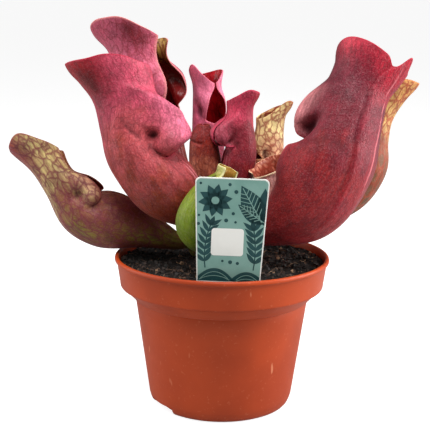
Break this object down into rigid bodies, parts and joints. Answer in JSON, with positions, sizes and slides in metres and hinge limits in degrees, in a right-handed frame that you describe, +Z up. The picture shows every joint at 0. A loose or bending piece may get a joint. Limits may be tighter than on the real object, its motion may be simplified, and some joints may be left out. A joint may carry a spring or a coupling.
{
  "type": "potted pitcher plant",
  "caption": "Potted carnivorous pitcher plant: hooded hollow pitcher leaves on one crown in a round nursery pot filled with peat, with a plant label pushed in at the front.",
  "frame": {"origin": "centre of the flat face that the pot stands on", "axes": "+Z up, the label's printed face looks to -Y, +X to the right seen from the label's side"},
  "size_m": [0.1736, 0.09, 0.1619],
  "materials": {
    "pot": "satin terracotta colour",
    "soil": "rough damp peat",
    "crown": "rough",
    "label": "printed, semi-gloss",
    "pitcher_left_front": "satin leaf with coloured veins",
    "pitcher_left_back": "satin leaf with coloured veins",
    "pitcher_left_low": "satin leaf with coloured veins",
    "pitcher_centre_back": "satin leaf with coloured veins",
    "pitcher_centre": "satin leaf with coloured veins",
    "pitcher_centre_low": "satin leaf with coloured veins",
    "pitcher_centre_right": "satin leaf with coloured veins",
    "pitcher_right_inner": "satin leaf with coloured veins",
    "pitcher_right_front": "satin leaf with coloured veins",
    "pitcher_right_back": "satin leaf with coloured veins",
    "pitcher_young_green": "satin leaf with coloured veins"
  },
  "bodies": {
    "root": {"pot": "pot", "soil": "soil", "crown": "crown", "label": "label", "pitcher_left_front": "pitcher_left_front", "pitcher_left_back": "pitcher_left_back", "pitcher_left_low": "pitcher_left_low", "pitcher_centre_back": "pitcher_centre_back", "pitcher_centre": "pitcher_centre", "pitcher_centre_low": "pitcher_centre_low", "pitcher_centre_right": "pitcher_centre_right", "pitcher_right_inner": "pitcher_right_inner", "pitcher_right_front": "pitcher_right_front", "pitcher_right_back": "pitcher_right_back", "pitcher_young_green": "pitcher_young_green"}
  },
  "joints": []
}
